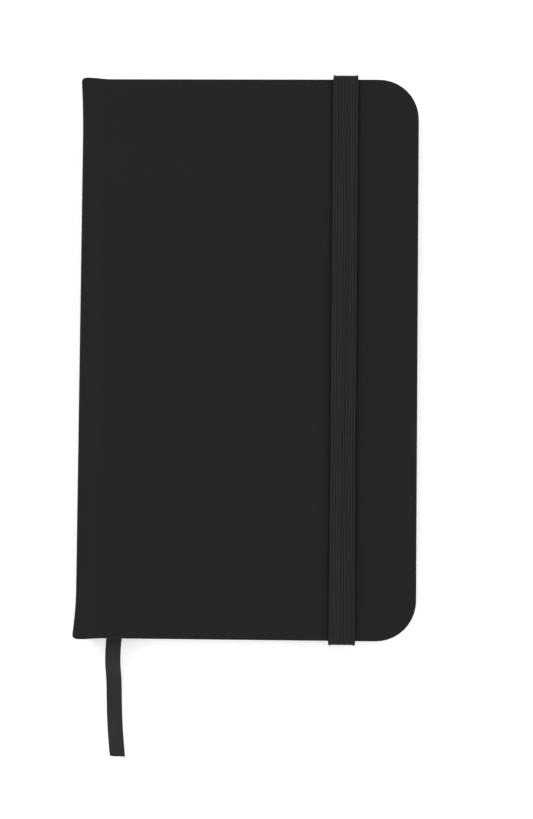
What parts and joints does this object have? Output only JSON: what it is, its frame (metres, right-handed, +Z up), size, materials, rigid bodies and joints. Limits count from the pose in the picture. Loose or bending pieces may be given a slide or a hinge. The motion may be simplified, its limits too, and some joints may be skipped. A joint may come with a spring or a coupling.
{
  "type": "pocket notebook",
  "caption": "Hardcover pocket notebook with round fore-edge corners, sewn page sections, a ribbon marker, and an elastic band that holds it shut.",
  "frame": {"origin": "on the surface the notebook lies on, under the middle of the closed case with its band (the ribbon's free end is left out)", "axes": "+X from the spine to the fore-edge, +Y from the tail to the head, +Z up out of the front cover"},
  "size_m": [0.084, 0.1711, 0.0154],
  "materials": {
    "cover_leatherette": "matte",
    "greyboard": "matte",
    "endpaper": "matte",
    "page_paper": "matte",
    "lining_cloth": "matte",
    "sewing_thread": "matte",
    "elastic_webbing": "matte",
    "ribbon_satin": "satin"
  },
  "bodies": {
    "back_cover": {"back_cover_skin": "cover_leatherette", "back_cover_board": "greyboard", "back_pastedown": "endpaper", "rear_flyleaf": "endpaper", "section_4": "page_paper", "section_5": "page_paper", "section_6": "page_paper", "rear_spine_lining": "lining_cloth", "rear_sewing_thread": "sewing_thread", "ribbon_glued_end": "ribbon_satin", "ribbon_marker_run": "ribbon_satin", "ribbon_marker_tail": "ribbon_satin", "elastic_anchor_head": "elastic_webbing", "elastic_anchor_tail": "elastic_webbing"},
    "spine": {"spine_skin": "cover_leatherette", "spine_board": "greyboard"},
    "front_cover": {"front_cover_skin": "cover_leatherette", "front_cover_board": "greyboard", "front_pastedown": "endpaper"},
    "front_section": {"section_1": "page_paper", "front_flyleaf": "endpaper", "front_spine_lining": "lining_cloth", "front_sewing_thread": "sewing_thread"},
    "second_section": {"section_2": "page_paper"},
    "third_section": {"section_3": "page_paper"},
    "band": {"elastic_band": "elastic_webbing"}
  },
  "joints": [
    {"name": "front_cover_hinge", "type": "hinge", "parent": "spine", "child": "front_cover", "pos_m": [-0.042, 0, 0.0145], "axis": [0, -1, 0], "range_deg": [0, 90]},
    {"name": "spine_hinge", "type": "hinge", "parent": "back_cover", "child": "spine", "pos_m": [-0.042, 0, 0], "axis": [0, -1, 0], "range_deg": [0, 90]},
    {"name": "front_section_turn", "type": "hinge", "parent": "back_cover", "child": "front_section", "pos_m": [-0.0399, 0, 0.00725], "axis": [0, -1, 0], "range_deg": [0, 180]},
    {"name": "second_section_turn", "type": "hinge", "parent": "back_cover", "child": "second_section", "pos_m": [-0.0399, 0, 0.00725], "axis": [0, -1, 0], "range_deg": [0, 180]},
    {"name": "third_section_turn", "type": "hinge", "parent": "back_cover", "child": "third_section", "pos_m": [-0.0399, 0, 0.00725], "axis": [0, -1, 0], "range_deg": [0, 180]},
    {"name": "band_release", "type": "slide", "parent": "back_cover", "child": "band", "axis": [1, 0, 0], "range_m": [0, 0.0245], "deforming": ["elastic_band"]}
  ],
  "couplings": [
    {"joint": "spine_hinge", "follows": "front_cover_hinge", "ratio": 1},
    {"joint": "front_section_turn", "follows": "front_cover_hinge", "ratio": 2},
    {"joint": "second_section_turn", "follows": "front_cover_hinge", "ratio": 1.965},
    {"joint": "third_section_turn", "follows": "front_cover_hinge", "ratio": 1.93},
    {"joint": "band_release", "follows": "front_cover_hinge", "m_per_rad": 0.015595}
  ]
}
